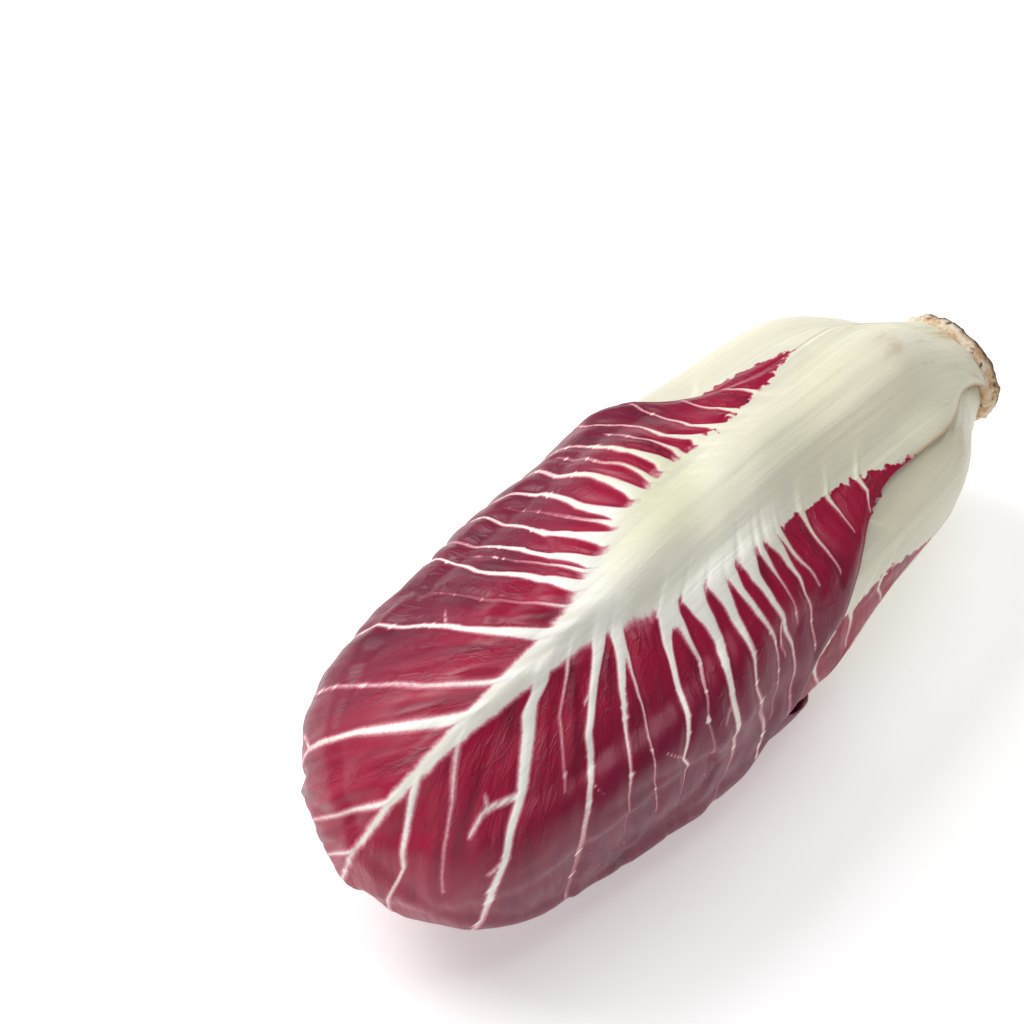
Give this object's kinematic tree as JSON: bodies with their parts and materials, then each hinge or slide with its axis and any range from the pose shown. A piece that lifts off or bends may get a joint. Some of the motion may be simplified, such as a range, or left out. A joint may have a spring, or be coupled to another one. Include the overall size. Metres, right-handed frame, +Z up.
{
  "type": "treviso radicchio head",
  "caption": "Long, closed head of early Treviso radicchio lying on its side: dark red leaves with thick white ribs and veins, wrapped round a tight heart, with the cut root.",
  "frame": {"origin": "centre of the head's bounding box on the surface it lies on", "axes": "+Z up, +X along the head towards the cut root, -X towards the tip of the leaves, +Y across"},
  "size_m": [0.2398, 0.096, 0.0906],
  "materials": {
    "leaf": "waxy leaf, semi-gloss, dark red with white ribs and veins",
    "heart_leaf": "waxy leaf, pale at the neck and red towards the tip",
    "cut_root": "dry cut root, matt, pale tan with a brown edge"
  },
  "bodies": {
    "root": {"leaf_1_top": "leaf", "leaf_2_under": "leaf", "leaf_3_right": "leaf", "leaf_4_left_under": "leaf", "leaf_5_left": "leaf", "leaf_6_right_under": "leaf", "heart": "heart_leaf", "root_stub": "cut_root"}
  },
  "joints": []
}
